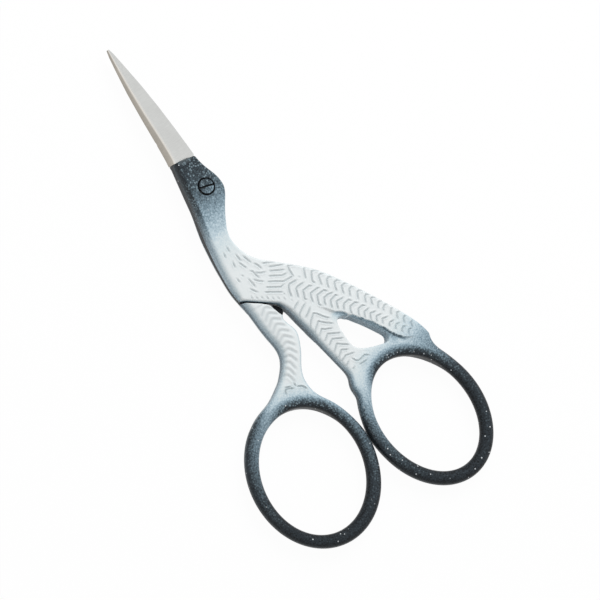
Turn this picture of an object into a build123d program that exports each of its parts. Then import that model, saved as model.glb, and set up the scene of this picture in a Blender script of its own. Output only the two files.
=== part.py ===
from build123d import *
import math
import os

os.makedirs("parts", exist_ok=True)

# Stork embroidery scissors, closed and lying flat. Millimetres.
# The origin is on the pivot's axis, in the flat back of the bird's head. +Y runs to the
# blade tips, +X to the finger eye of the body half, +Z up out of the face that is seen.
# Two crossed halves and one screw: the body half lies over the leg half from the breast up.

# Halves and how they lie on each other
half_thickness = 2.13        # one half at the pivot
face_gap = 0.04              # running gap between the two sliding faces
handle_thickness = 3.2       # body, wing, strut and leg, where a half has its full thickness
edge_round = 0.3             # rounded rim of both halves
step_clearance = 0.3         # free room beside each step between the halves
cut_overrun = 1.0            # how far any cutting tool runs past what it cuts

# Head, neck and breast
neck_reach = 6.36            # pivot to the front of the breast, across
breast_drop = 19.5           # pivot to the foot of the breast, along
head_reach = 6.4             # pivot to the edge of the paint, on the front side
head_corner = 0.6            # radius of the head's two corners beside the blade
neck_front_shares = [
    (-0.368, 0.328), (-0.459, 0.164), (-0.535, 0.026), (-0.619, -0.133), (-0.714, -0.267),
    (-0.838, -0.451), (-0.928, -0.615), (-0.981, -0.769), (-1.000, -0.903), (-0.972, -0.997),
]
nape_shares = [
    (0.248, 0.287), (0.274, 0.215), (0.346, 0.123), (0.428, 0.041), (0.456, -0.026),
    (0.443, -0.082), (0.362, -0.138), (0.211, -0.205), (0.042, -0.282), (-0.101, -0.359),
    (-0.204, -0.426), (-0.248, -0.487), (-0.242, -0.544), (-0.192, -0.615), (-0.094, -0.690),
    (0.047, -0.754), (0.451, -0.872),
]
belly_corner_shares = (-0.110, -1.197)

# Long profile of both halves, as shares of breast_drop and of half_thickness: it climbs from
# the blade's root to the pivot, runs level, and falls along the breast to the handle's level
climb_shares = [(0.60, 0.80), (0.30, 0.87), (0.02, 1.00)]
fall_shares = [(-0.42, 1.00), (-0.75, 0.83)]
fall_foot_share = -0.98

# Blades
blade_reach = 28.6           # pivot to the tips
blade_width = 4.5            # near the root
blade_thickness = 1.78       # at the root
edge_thickness = 0.22        # left at the cutting edge
ridge_inset = 0.6            # how far the top of the back is set in from its foot
heel_reach = 10.7            # pivot to the heel, where the ground edge starts
heel_notch = 0.28            # radius of the nick at the heel
tip_blunt = 0.3              # width that is left at the tip
# Shares of the root-to-tip run, of the width and of the thickness. The leg half's blade is the
# narrower one on its back's side, so that it hides under the other one's cutting edge.
body_blade = [
    {"run": 0.00, "back": -0.660, "edge": 0.505, "ridge": 1.00},
    {"run": 0.14, "back": -0.570, "edge": 0.480, "ridge": 0.98},
    {"run": 0.26, "back": -0.518, "edge": 0.456, "ridge": 0.93},
    {"run": 0.47, "back": -0.442, "edge": 0.393, "ridge": 0.80},
    {"run": 0.66, "back": -0.345, "edge": 0.302, "ridge": 0.67},
    {"run": 0.83, "back": -0.218, "edge": 0.185, "ridge": 0.49},
    {"run": 0.95, "back": -0.107, "edge": 0.098, "ridge": 0.32},
]
leg_blade = [
    {"run": 0.00, "back": -0.490, "edge": 0.650, "ridge": 1.00},
    {"run": 0.14, "back": -0.480, "edge": 0.562, "ridge": 0.98},
    {"run": 0.26, "back": -0.460, "edge": 0.505, "ridge": 0.93},
    {"run": 0.47, "back": -0.402, "edge": 0.424, "ridge": 0.80},
    {"run": 0.66, "back": -0.315, "edge": 0.330, "ridge": 0.67},
    {"run": 0.83, "back": -0.198, "edge": 0.205, "ridge": 0.49},
    {"run": 0.95, "back": -0.102, "edge": 0.102, "ridge": 0.32},
]
blade_root_share = 0.72      # the blade starts inside the head, at this share of head_reach

# Finger eyes
eye_wire = 2.42
eye_gap = 0.25               # between the two eyes when the blades are shut
eye_meeting = -0.44          # where they meet, across
leg_eye_width = 19.05
leg_eye_length = 22.3
leg_eye_lean = 20.0          # degrees, the top of its hole leans towards the bird
leg_eye_rim_lean = 13.0      # its rim leans less, so the wire is thicker on two sides
leg_eye_drop = 36.85         # pivot to the top of its rim
body_eye_width = 16.95
body_eye_length = 22.05
body_eye_lean = -7.0
body_eye_rim_lean = -7.0
body_eye_drop = 39.37
wire_round_share = 0.47      # rounding of its rims, as a share of its thinnest place

# Wing and strut of the body half. Across, the back and the cheek under the wing tip are in
# shares of the wing tip's reach, the strut and the tail hole in shares of the eye's place.
# Along, the back runs from the shoulder to the wing tip, the cheek from there to the eye's
# middle, the strut and the tail hole from the foot of the breast to the eye's rim. The rim
# shares go on beside the eye: degrees round from the top of its hole, and shares of the wire.
wing_tip_reach = 19.02       # pivot to the wing tip, across
wing_tip_drop = 41.7         # pivot to the wing tip, along
back_shares = [
    (0.273, 0.081), (0.436, 0.203), (0.555, 0.325), (0.657, 0.444), (0.752, 0.566),
    (0.839, 0.688), (0.920, 0.809), (0.973, 0.907), (0.996, 0.976), (1.000, 1.000),
]
wing_tip_heading_shares = (0.1, -1.0)
cheek_shares = [(0.992, 0.099), (0.995, 0.170), (1.006, 0.252)]
cheek_rim_shares = [(62.1, 0.970), (66.6, 0.895)]
strut_front_shares = [
    (0.019, 0.285), (0.059, 0.398), (0.092, 0.489), (0.139, 0.629), (0.208, 0.830),
    (0.246, 0.941), (0.263, 1.006), (0.254, 1.057), (0.213, 1.105), (0.189, 1.143),
]
strut_front_rim_shares = [(-40.5, 1.239), (-43.9, 1.052)]
tail_hole_shares = [
    (0.672, 0.584), (0.786, 0.604), (0.900, 0.671), (0.994, 0.740), (1.081, 0.812),
    (1.161, 0.883), (1.197, 0.939), (1.151, 0.978), (1.013, 0.974), (0.843, 0.947),
    (0.701, 0.911), (0.597, 0.863), (0.568, 0.796), (0.568, 0.705), (0.578, 0.629),
    (0.616, 0.590),
]
root_turns = [64.0, 40.0, 20.0, 0.0, -20.0, -40.0, -58.0]
root_cover_share = 0.3       # how much of the wire the root leaves bare, beside the hole

# Leg of the leg half: across in shares of its eye's place, along from the foot of the breast
# to its eye's rim, then beside the eye in the same way
leg_front_shares = [
    (0.485, 0.034), (0.470, 0.097), (0.457, 0.235), (0.437, 0.450), (0.424, 0.622),
    (0.452, 0.686), (0.496, 0.739), (0.585, 0.807), (0.677, 0.864), (0.749, 0.896),
    (0.876, 0.949),
]
leg_front_rim_shares = [(-22.4, 1.164), (-31.3, 1.073)]
leg_back_shares = [
    (0.102, 0.346), (0.072, 0.518), (0.104, 0.635), (0.169, 0.726), (0.251, 0.813),
    (0.320, 0.890), (0.359, 0.962), (0.369, 1.042),
]
leg_back_rim_shares = [(18.5, 1.180), (28.4, 0.913), (39.4, 0.818), (50.3, 0.809)]
leg_root_turns = [40.0, 20.0, 0.0, -20.0, -44.0]

# Back of the leg half's own neck, under the body half: it follows the nape, then drops
hidden_inset = 0.1
nape_shared = 10             # how many nape points it follows
hidden_back_shares = [
    (-0.322, -0.451), (-0.340, -0.564), (-0.340, -0.718), (-0.335, -0.923), (-0.320, -1.128),
    (-0.275, -1.241),
]

# Pivot screw
screw_shank = 2.0
screw_head = 2.9
screw_head_height = 1.0
screw_head_stand = 0.25      # how far the head stands proud of the half
screw_play = 0.05            # radial running play of the shank and of the head's seat
slot_width = 0.42
slot_depth = 0.45
slot_turn = -16.0            # degrees from +X, as the screw is seen to stand
screw_point_chamfer = 0.2
screw_head_chamfer = 0.12

# Levels that follow
mid_z = half_thickness + face_gap / 2
top_z = 2 * half_thickness + face_gap
seam_top = half_thickness + face_gap
handle_low = mid_z - handle_thickness / 2
handle_high = mid_z + handle_thickness / 2
wide = 2 * (neck_reach + blade_reach)
level_share = 0.9            # a face this level or more belongs to the outer side
rim_digits = 4


# Shares of a reach across, and of a run along from its start to its end
def placed(shares, across, end, start=0):
    return [(x * across, start + y * (end - start)) for x, y in shares]


# A finger eye: its centre follows from its size, its lean and where the two eyes meet
def eye(width, length, lean, rim_lean, drop, side):
    turn = math.radians(rim_lean)
    half_width = width / 2 + eye_wire
    half_length = length / 2 + eye_wire
    reach_x = math.hypot(half_length * math.sin(turn), half_width * math.cos(turn))
    reach_y = math.hypot(half_length * math.cos(turn), half_width * math.sin(turn))
    return {
        "width": width,
        "length": length,
        "lean": lean,
        "rim_lean": rim_lean,
        "x": eye_meeting + side * (reach_x + eye_gap / 2),
        "y": -drop - reach_y,
    }


# A point beside an eye's hole: degrees round from its top, and how far out from the hole
def beside(this_eye, degrees, out):
    turn = math.radians(degrees)
    lean = math.radians(this_eye["lean"])
    along = (this_eye["length"] / 2 + out) * math.cos(turn)
    across = (this_eye["width"] / 2 + out) * math.sin(turn)
    x = this_eye["x"] + along * math.sin(lean) + across * math.cos(lean)
    y = this_eye["y"] + along * math.cos(lean) - across * math.sin(lean)
    return (x, y)


def beside_shares(this_eye, shares):
    return [beside(this_eye, degrees, out * eye_wire) for degrees, out in shares]


# The wire is thinnest where the hole leans further than the rim
def eye_ring(this_eye):
    half_width = this_eye["width"] / 2
    half_length = this_eye["length"] / 2
    rim = Ellipse(half_width + eye_wire, half_length + eye_wire, rotation=-this_eye["rim_lean"])
    hole = Ellipse(half_width, half_length, rotation=-this_eye["lean"])
    ring = extrude(rim - hole, amount=eye_wire / 2, both=True)
    turn = math.radians(this_eye["lean"] - this_eye["rim_lean"])
    thinnest = eye_wire - abs(math.sin(turn)) * abs(half_length - half_width)
    ring = fillet(ring.edges(), thinnest * wire_round_share)
    return Pos(this_eye["x"], this_eye["y"], mid_z) * ring


leg_eye = eye(leg_eye_width, leg_eye_length, leg_eye_lean, leg_eye_rim_lean, leg_eye_drop, -1)
body_eye = eye(body_eye_width, body_eye_length, body_eye_lean, body_eye_rim_lean, body_eye_drop, 1)


def slab(outline, low, high):
    return Pos(0, 0, low) * extrude(make_face(outline), amount=high - low)


# A half's own slab, with the two corners of its head rounded in plan
def blank_slab(outline):
    plan = make_face(outline)
    plan = fillet(plan.vertices().sort_by(Axis.Y)[-2:], head_corner)
    return Pos(0, 0, handle_low) * extrude(plan, amount=top_z + cut_overrun - handle_low)


def tail_hole():
    corners = placed(tail_hole_shares, body_eye["x"], -body_eye_drop, -breast_drop)
    return slab(Spline(*corners, periodic=True), -cut_overrun, top_z + 2 * cut_overrun)


# What lies over the long profile of a half's outer face, as one cutting tool
def above_profile():
    climb = [(y * breast_drop, seam_top + z * half_thickness) for y, z in climb_shares]
    fall = [(y * breast_drop, seam_top + z * half_thickness) for y, z in fall_shares]
    fall.append((fall_foot_share * breast_drop, handle_high))
    far = (-body_eye_drop - body_eye_length - wide, handle_high)
    roof = top_z + 2 * cut_overrun
    slope = (climb[1][0] - climb[0][0], climb[1][1] - climb[0][1])
    run = Spline(*climb, tangents=[slope, (-1, 0)])
    run += Line(climb[-1], fall[0])
    run += Spline(*fall, tangents=[(-1, 0), (-1, 0)])
    run += Polyline(fall[-1], far, (far[0], roof), (climb[0][0], roof), climb[0])
    return Pos(-wide, 0, 0) * extrude(Plane.YZ * make_face(run), amount=2 * wide)


def turned_over(shape):
    return shape.rotate(Axis((0, 0, mid_z), (0, 1, 0)), 180)


# Blade: its back is the thick side, its cutting edge the thin one
def blade(stations):
    root = blade_root_share * head_reach
    run = blade_reach - root
    lip = edge_thickness
    sections = []
    for station in stations:
        y = root + station["run"] * run
        back = station["back"] * blade_width
        edge = station["edge"] * blade_width
        ridge = station["ridge"] * blade_thickness
        inset = ridge_inset * station["ridge"]
        sections.append([(back, y, 0), (back + inset, y, ridge), (edge, y, lip), (edge, y, 0)])
    half = tip_blunt / 2
    tip = [(-half, 0), (-half, lip), (half, lip), (half, 0)]
    sections.append([(x, blade_reach, z) for x, z in tip])
    faces = [make_face(Polyline(*section, close=True)) for section in sections]
    return Pos(0, 0, seam_top) * loft(faces)


# Plan of the body half without its eye: head, neck, breast, wing and strut
def body_plan():
    front = placed(neck_front_shares, neck_reach, breast_drop)
    nape = placed(nape_shares, neck_reach, breast_drop)
    corner = placed([belly_corner_shares], neck_reach, breast_drop)
    back = placed(back_shares, wing_tip_reach, -wing_tip_drop, nape[-1][1])
    cheek = placed(cheek_shares, wing_tip_reach, body_eye["y"], -wing_tip_drop)
    cheek += beside_shares(body_eye, cheek_rim_shares)
    strut = placed(strut_front_shares, body_eye["x"], -body_eye_drop, -breast_drop)
    strut += beside_shares(body_eye, strut_front_rim_shares)
    cover = eye_wire * root_cover_share
    root = [beside(body_eye, degrees, cover) for degrees in root_turns]
    neck_line = Spline(*nape, back[0])
    outline = neck_line + Spline(*back, tangents=[neck_line % 1, wing_tip_heading_shares])
    outline += Line(back[-1], cheek[0])
    outline += Spline(*cheek)
    outline += Line(cheek[-1], root[0])
    outline += Spline(*root)
    outline += Line(root[-1], strut[-1])
    outline += Spline(*strut[::-1], *corner)
    outline += Line(corner[0], front[-1])
    outline += Spline(*front[::-1])
    outline += Line(front[0], nape[0])
    return outline


# Back of the leg half's neck, down to where it comes out from under the breast
def hidden_back():
    nape = placed(nape_shares, neck_reach, breast_drop)[:nape_shared]
    return [(x - hidden_inset, y) for x, y in nape] + placed(hidden_back_shares, neck_reach, breast_drop)


# Plan of the leg half without its eye: the same head and neck, then the leg
def leg_plan():
    front = placed(neck_front_shares, neck_reach, breast_drop)
    back = hidden_back()
    shin = placed(leg_front_shares, leg_eye["x"], -leg_eye_drop, -breast_drop)
    shin += beside_shares(leg_eye, leg_front_rim_shares)
    calf = placed(leg_back_shares, leg_eye["x"], -leg_eye_drop, -breast_drop)
    calf += beside_shares(leg_eye, leg_back_rim_shares)
    cover = eye_wire * root_cover_share
    root = [beside(leg_eye, degrees, cover) for degrees in leg_root_turns]
    outline = Spline(*back, *calf)
    outline += Line(calf[-1], root[0])
    outline += Spline(*root)
    outline += Line(root[-1], shin[-1])
    outline += Spline(*shin[::-1], *front[::-1])
    outline += Line(front[0], back[0])
    return outline


# Whether both ends of an edge lie in an eye's wire, where the root runs into it
def under_wire(edge, this_eye):
    turn = math.radians(this_eye["rim_lean"])
    half_length = this_eye["length"] / 2 + eye_wire
    half_width = this_eye["width"] / 2 + eye_wire
    for end in edge.vertices():
        x = end.X - this_eye["x"]
        y = end.Y - this_eye["y"]
        along = (x * math.sin(turn) + y * math.cos(turn)) / half_length
        across = (x * math.cos(turn) - y * math.sin(turn)) / half_width
        if math.hypot(along, across) > 1:
            return False
    return True


# A half before its eye and blade: thinned along the neck by the long profile, its rims rounded
def plate(body, this_eye):
    body -= above_profile()
    outer = [face for face in body.faces() if face.normal_at(face.center()).Z > level_share]
    inner = body.faces().sort_by(Axis.Z)[0]
    rims = {}
    for face in outer:
        for edge in face.edges():
            rims.setdefault(tuple(round(part, rim_digits) for part in edge.center()), []).append(edge)
    rim = [edges[0] for edges in rims.values() if len(edges) == 1] + list(inner.edges())
    return fillet([edge for edge in rim if not under_wire(edge, this_eye)], edge_round)


# Room under the body half for the neck of the leg half, and for its swing to the left
def body_step():
    lower = hidden_back()[nape_shared:]
    calf = placed(leg_back_shares, leg_eye["x"], -leg_eye_drop, -breast_drop)[:2]
    line = [(x + step_clearance, y) for x, y in lower + calf]
    top = blade_reach + cut_overrun
    around = [line[-1], (-wide, line[-1][1]), (-wide, top), (wide, top), (wide, line[0][1]), line[0]]
    return slab(Spline(*line) + Polyline(*around), handle_low - cut_overrun, seam_top)


# Room over the leg half for the breast of the body half
def leg_step():
    foot = placed([neck_front_shares[-1]], neck_reach, breast_drop)[0]
    belly = placed([belly_corner_shares], neck_reach, breast_drop)[0]
    run = math.hypot(belly[0] - foot[0], belly[1] - foot[1])
    across = (belly[0] - foot[0]) / run
    along = (belly[1] - foot[1]) / run
    shift = (along * step_clearance, -across * step_clearance)
    left = (foot[0] + shift[0] - across * neck_reach, foot[1] + shift[1] - along * neck_reach)
    right = (belly[0] + shift[0] + across * neck_reach, belly[1] + shift[1] + along * neck_reach)
    top = blade_reach + cut_overrun
    outline = Polyline(left, right, (right[0], top), (left[0], top), close=True)
    return slab(outline, half_thickness, top_z + cut_overrun)


def heel_nick(stations):
    root = blade_root_share * head_reach
    run = (heel_reach - root) / (blade_reach - root)
    near = [station for station in stations if station["run"] <= run][-1]
    after = [station for station in stations if station["run"] > run][0]
    share = (run - near["run"]) / (after["run"] - near["run"])
    edge = (near["edge"] + share * (after["edge"] - near["edge"])) * blade_width
    return Pos(edge, heel_reach, seam_top) * Cylinder(heel_notch, 2 * half_thickness)


def body_half():
    blank = blank_slab(body_plan()) - tail_hole()
    half = plate(blank, body_eye) - body_step()
    half = half + blade(body_blade) + eye_ring(body_eye)
    seat_z = top_z + screw_head_stand - screw_head_height - face_gap
    bore = Pos(0, 0, mid_z) * Cylinder(screw_shank / 2 + screw_play, 2 * top_z)
    seat = Pos(0, 0, seat_z) * Cylinder(
        screw_head / 2 + screw_play, top_z, align=(Align.CENTER, Align.CENTER, Align.MIN)
    )
    return half - bore - seat


def leg_half():
    half = mirror(plate(blank_slab(leg_plan()), leg_eye), about=Plane.XY.offset(mid_z)) - leg_step()
    half = half + turned_over(blade(leg_blade) - heel_nick(leg_blade)) + eye_ring(leg_eye)
    bore = Pos(0, 0, mid_z) * Cylinder(screw_shank / 2 + screw_play, 2 * top_z)
    return half - bore


def pivot_screw():
    up = (Align.CENTER, Align.CENTER, Align.MIN)
    head_z = top_z + screw_head_stand - screw_head_height
    shank = Cylinder(screw_shank / 2, head_z + face_gap, align=up)
    shank = chamfer(shank.edges().sort_by(Axis.Z)[0], screw_point_chamfer)
    head = Pos(0, 0, head_z) * Cylinder(screw_head / 2, screw_head_height, align=up)
    head = chamfer(head.edges().sort_by(Axis.Z)[-1], screw_head_chamfer)
    slot = Box(2 * screw_head, slot_width, slot_depth, align=(Align.CENTER, Align.CENTER, Align.MAX))
    slot = Pos(0, 0, top_z + screw_head_stand) * Rot(0, 0, slot_turn) * slot
    return shank + head - slot


def main():
    parts = {"body_half": body_half(), "leg_half": leg_half(), "pivot_screw": pivot_screw()}
    for name, shape in parts.items():
        box = shape.bounding_box()
        print(name, len(shape.solids()), "solid", shape.is_valid, round(shape.volume, 1), box.size)
        export_step(shape, os.path.join("parts", name + ".step"))


if __name__ == "__main__":
    main()
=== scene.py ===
import math

import bmesh
import bpy
import numpy as np
from mathutils import Matrix, Vector, geometry


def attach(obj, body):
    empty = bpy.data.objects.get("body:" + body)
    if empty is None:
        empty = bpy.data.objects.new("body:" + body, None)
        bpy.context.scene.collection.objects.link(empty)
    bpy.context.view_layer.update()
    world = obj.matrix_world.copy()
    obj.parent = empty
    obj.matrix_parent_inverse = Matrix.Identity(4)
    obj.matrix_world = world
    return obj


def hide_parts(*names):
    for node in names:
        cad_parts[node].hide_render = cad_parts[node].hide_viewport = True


# Stork embroidery scissors, closed and lying flat. The shapes below are in millimetres, in the
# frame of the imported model, and turn into metres when a mesh is made.

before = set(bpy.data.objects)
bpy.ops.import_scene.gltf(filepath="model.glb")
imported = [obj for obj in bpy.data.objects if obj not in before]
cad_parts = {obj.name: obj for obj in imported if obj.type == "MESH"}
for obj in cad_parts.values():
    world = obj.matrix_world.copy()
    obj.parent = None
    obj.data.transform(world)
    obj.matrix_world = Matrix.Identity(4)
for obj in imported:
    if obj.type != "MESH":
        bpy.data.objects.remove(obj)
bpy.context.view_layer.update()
print("stork scissors: frame loaded")

common = {
    "toMetres": 0.001,
    "midHeight": 2.15,        # the plane both halves are mirrored about
    "seamTop": 2.17,          # underside of the upper half at the pivot
    "seamBelow": 2.13,        # top of the lower half at the pivot
    "outlineStep": 0.22,      # how finely the outlines are cut up
    "gridStep": 0.16,         # and the faces between them
    "rimRows": [0.03, 0.09, 0.18, 0.30, 0.45, 0.62, 0.80, 1.00],
    "wallRows": [(0.10, 0.40), (0.35, 0.75), (0.65, 1.0), (0.90, 1.12)],  # down the wall, and how much of the wall's painted shade each row gets
}


# A smooth line through given points
def smoothLine(points, step, closed=False):
    spots = np.array(points, float)
    count = len(spots)
    if closed:
        spots = np.vstack([spots, spots, spots, spots[:1]])
    runs = np.linalg.norm(np.diff(spots, axis=0), axis=1)
    at = np.concatenate([[0.0], np.cumsum(runs)])
    size = len(spots)
    left = np.zeros((size, size))
    right = np.zeros((size, spots.shape[1]))
    left[0, 0] = left[-1, -1] = 1.0
    for i in range(1, size - 1):
        left[i, i - 1:i + 2] = runs[i - 1], 2 * (runs[i - 1] + runs[i]), runs[i]
        right[i] = 6 * ((spots[i + 1] - spots[i]) / runs[i] - (spots[i] - spots[i - 1]) / runs[i - 1])
    bend = np.linalg.solve(left, right)
    low, high = (at[count], at[2 * count]) if closed else (0.0, at[-1])
    steps = max(2, int(round((high - low) / step)))
    where = np.linspace(low, high, steps + 1)
    i = np.clip(np.searchsorted(at, where, side="right") - 1, 0, size - 2)
    run = runs[i][:, None]
    before = (at[i + 1] - where)[:, None]
    after = (where - at[i])[:, None]
    line = (bend[i] * before ** 3 + bend[i + 1] * after ** 3) / (6 * run)
    line += (spots[i] / run - bend[i] * run / 6) * before
    line += (spots[i + 1] / run - bend[i + 1] * run / 6) * after
    return line[:-1] if closed else line


def straight(start, end, step):
    start, end = np.array(start, float), np.array(end, float)
    steps = max(1, int(round(np.linalg.norm(end - start) / step)))
    return start + (end - start) * np.linspace(0, 1, steps + 1)[:, None]


def ease(value, low, high):
    t = np.clip((value - low) / (high - low), 0, 1)
    return t * t * (3 - 2 * t)


# Distance from every spot to a line, how far along the line that is, and on which side
def nearLine(spots, line, closed=False):
    ends = np.vstack([line, line[:1]]) if closed else np.asarray(line, float)
    a, b = ends[:-1], ends[1:]
    run = b - a
    long2 = np.maximum((run ** 2).sum(1), 1e-12)
    start = np.concatenate([[0.0], np.cumsum(np.sqrt(long2))])
    far = np.full(len(spots), 1e9)
    along = np.zeros(len(spots))
    side = np.zeros(len(spots))
    for low in range(0, len(spots), 4000):
        part = spots[low:low + 4000, None, :] - a[None]
        t = np.clip((part * run[None]).sum(2) / long2, 0, 1)
        gap = part - t[..., None] * run[None]
        d2 = (gap ** 2).sum(2)
        i = d2.argmin(1)
        pick = np.arange(len(i))
        far[low:low + 4000] = np.sqrt(d2[pick, i])
        along[low:low + 4000] = start[i] + t[pick, i] * np.sqrt(long2[i])
        turn = run[i, 0] * part[pick, i, 1] - run[i, 1] * part[pick, i, 0]
        side[low:low + 4000] = np.where(turn >= 0, 1.0, -1.0)
    return far, along, side


def within(spots, loop):
    inside = np.zeros(len(spots), bool)
    x, y = spots[:, 0], spots[:, 1]
    for (ax, ay), (bx, by) in zip(loop, np.roll(loop, -1, axis=0)):
        if ay == by:
            continue
        crosses = ((ay > y) != (by > y)) & (x < (bx - ax) * (y - ay) / (by - ay) + ax)
        inside ^= crosses
    return inside


# How far each spot is from the nearest of some loops
def clearance(spots, loops):
    return np.min([nearLine(spots, loop, closed=True)[0] for loop in loops], axis=0)


# Copies of a line at some distances to its left
def beside(line, along, distances):
    along = along / np.maximum(np.linalg.norm(along, axis=1), 1e-9)[:, None]
    normal = np.stack([-along[:, 1], along[:, 0]], 1)
    return [line + normal * distance for distance in distances]


def circle(angles, radius):
    return np.stack([np.cos(angles), np.sin(angles)], 1) * radius


def signedArea(loop):
    x, y = loop[:, 0], loop[:, 1]
    return 0.5 * (x * np.roll(y, -1) - y * np.roll(x, -1)).sum()


# Turns every triangle of a flat net face up
def faceUp(spots, faces):
    p, q, r = spots[faces[:, 0]], spots[faces[:, 1]], spots[faces[:, 2]]
    area = (q[:, 0] - p[:, 0]) * (r[:, 1] - p[:, 1]) - (q[:, 1] - p[:, 1]) * (r[:, 0] - p[:, 0])
    faces[area < 0] = faces[area < 0][:, ::-1]


def storeValues(mesh, key, values):
    layer = mesh.attributes.new(key, "FLOAT", "POINT")
    layer.data.foreach_set("value", np.asarray(values, np.float32))


# Shades a mesh smooth up to a crease angle and puts it into the scene
def pieceFrom(name, mesh, crease):
    for polygon in mesh.polygons:
        polygon.use_smooth = True
    mesh.set_sharp_from_angle(angle=math.radians(crease))
    piece = bpy.data.objects.new(name, mesh)
    bpy.context.scene.collection.objects.link(piece)
    print("stork scissors:", name, len(mesh.polygons), "faces")
    return piece


# The corner between two straight ends, rounded off
def corner(before, tip, after, reach):
    before, tip, after = (np.array(p, float) for p in (before, tip, after))
    start = tip + (before - tip) / np.linalg.norm(before - tip) * reach
    end = tip + (after - tip) / np.linalg.norm(after - tip) * reach
    t = np.linspace(0, 1, 7)[:, None]
    return start * (1 - t) ** 2 + 2 * tip * t * (1 - t) + end * t ** 2


# Strings pieces of outline together into one loop. Every point keeps its own edge rounding,
# how far its edge is a steep bevel instead, and how dark the painted shade on the wall under it is
def joined(*pieces):
    spots, values = [], []
    for line, *lists in pieces:
        ends = np.linspace(0, 1, len(line))
        columns = [np.interp(ends, np.linspace(0, 1, len(part)), part) for part in lists]
        for spot, value in zip(line, np.stack(columns, 1)):
            if not spots or np.linalg.norm(spot - spots[-1]) > 0.04:
                spots.append(spot)
                values.append(value)
    if np.linalg.norm(spots[0] - spots[-1]) < 0.04:
        spots.pop()
        values.pop()
    values = np.array(values)
    for _ in range(6):
        values = (np.roll(values, 1, axis=0) + values + np.roll(values, -1, axis=0)) / 3
    return np.array(spots), values


# Outlines shared by both halves
neckLines = {
    "front": [(-2.34, 6.4), (-2.92, 3.2), (-3.4, 0.5), (-3.94, -2.6), (-4.54, -5.2), (-5.33, -8.8),
              (-5.9, -12), (-6.24, -15), (-6.36, -17.6), (-6.18, -19.45)],
    "nape": [(1.58, 5.6), (1.74, 4.2), (2.2, 2.4), (2.72, 0.8), (2.9, -0.5), (2.82, -1.6), (2.3, -2.7),
             (1.34, -4), (0.27, -5.5), (-0.64, -7), (-1.3, -8.3), (-1.58, -9.5), (-1.54, -10.6),
             (-1.22, -12), (-0.6, -13.45), (0.3, -14.7), (2.87, -17)],
    "bellyCorner": (-0.70, -23.34),
    "headCorner": 0.55,
    "frontRound": [0.25, 0.28, 0.35, 0.45, 0.55, 0.72, 0.9, 1.0, 1.1, 0.6],
    "frontBevel": [1, 1, 1, 0.8, 0.45, 0.1, 0, 0, 0, 0],
    # how pale the painted shade leaves the wall under each part of the front
    "frontWall": [0.24, 0.22, 0.26, 0.42, 0.56, 0.74, 0.90, 0.94, 0.80, 0.65],
    # the neck's steep bevel: how far in and how far down it reaches, and the painted shade on it
    "bevelIn": 0.48, "bevelDown": 1.5, "bevelDark": 0.68,
    "slopeDark": 0.26,        # painted shade where a broad edge rolls down to the wall
    "slopeLower": 1.4,        # and more so at the foot of the strut
}

bodyLines = {
    "back": [(2.87, -17), (5.2, -19), (8.3, -22), (10.55, -25), (12.5, -28), (14.3, -31), (15.95, -34),
             (17.5, -37), (18.5, -39.4), (18.95, -41.1)],
    "wingTip": [(19.06, -41.75), (18.9, -42.35), (18.78, -43.0)],
    "cheek": [(18.78, -43.0), (18.82, -43.7), (19.0, -44.45)],
    "strutFront": [(0.2, -25.14), (0.62, -27.4), (0.97, -29.2), (1.47, -32), (2.2, -36), (2.6, -38.2),
                   (2.78, -39.5), (2.68, -40.5), (2.25, -41.45), (2.0, -42.2), (1.93, -43.1), (1.85, -44)],
    "tailHole": [(7.1, -31.1), (8.3, -31.5), (9.5, -32.85), (10.5, -34.2), (11.4, -35.6), (12.25, -37),
                 (12.63, -38.15), (12.15, -38.9), (10.7, -38.86), (8.9, -38.3), (7.4, -37.6), (6.3, -36.6),
                 (6, -35.3), (6, -33.5), (6.1, -32), (6.5, -31.2)],
    "eye": {"x": 10.622, "y": -52.781, "hole": (8.475, 11.025), "lean": -7,
            "rim": (10.895, 13.445), "rimLean": -7},
    "rimFrom": -50, "rimTo": 66,
    "strutWall": [0.30, 0.42, 0.42, 0.38, 0.32, 0.3],
    "wireRound": 1.15,
    "wireHeight": 1.21,       # half the height of the wire
    "breastFoot": -24.3,      # the upper half has its full height below this
    "touch": (-51.0, 2.6, 0.12),          # where the two eyes nearly touch: y, reach, swell
}

legLines = {
    "shin": [(-6.18, -19.45), (-6.09, -20.1), (-5.9, -21.2), (-5.74, -23.6), (-5.49, -27.3), (-5.32, -30.3),
             (-5.67, -31.4), (-6.23, -32.3), (-7.34, -33.5), (-8.5, -34.5), (-9.4, -35.05), (-11, -35.95),
             (-12.6, -36.6), (-14.5, -37.1)],
    "calf": [(-1.28, -25.5), (-0.9, -28.5), (-1.3, -30.5), (-2.12, -32.1), (-3.15, -33.6), (-4.02, -34.95),
             (-4.5, -36.2), (-4.63, -37.6), (-4.37, -39.2)],
    "hiddenBack": [(-2.05, -8.8), (-2.16, -11), (-2.16, -14), (-2.13, -18), (-2.03, -22), (-1.75, -24.2)],
    "stop": [(-1.92, -22.6), (-1.72, -22.97), (-1.2, -23.14), (-0.82, -23.5), (-0.55, -23.95),
             (-0.32, -24.45), (-0.45, -25.0), (-0.9, -25.35)],
    "topEdge": [(-8.2, -18.48), (-6.4, -19.78), (-4.6, -21.06), (-3.0, -22.2), (-2.55, -22.62),
                (-2.28, -23.1), (-2.08, -23.8), (-1.88, -24.5), (-1.58, -25.2), (-1.1, -25.9), (-0.4, -26.6)],
    "topEdgeRound": 0.28,
    "frontRound": [0.25, 0.3, 0.45, 0.7, 1.0, 1.0, 0.95, 0.9, 0.85, 0.8, 0.8, 0.9],
    "frontWall": [0.30, 0.32, 0.42, 0.46, 0.44, 0.44, 0.46, 0.48, 0.52, 0.56, 0.6, 0.6],
    "eye": {"x": -12.598, "y": -50.342, "hole": (9.525, 11.15), "lean": 20,
            "rim": (11.945, 13.57), "rimLean": 13},
    "rimFrom": -34, "rimTo": 40,
    "boreFoot": (1.07, 1.13, 0.30),       # opens round the screw's end on the back
}


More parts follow.
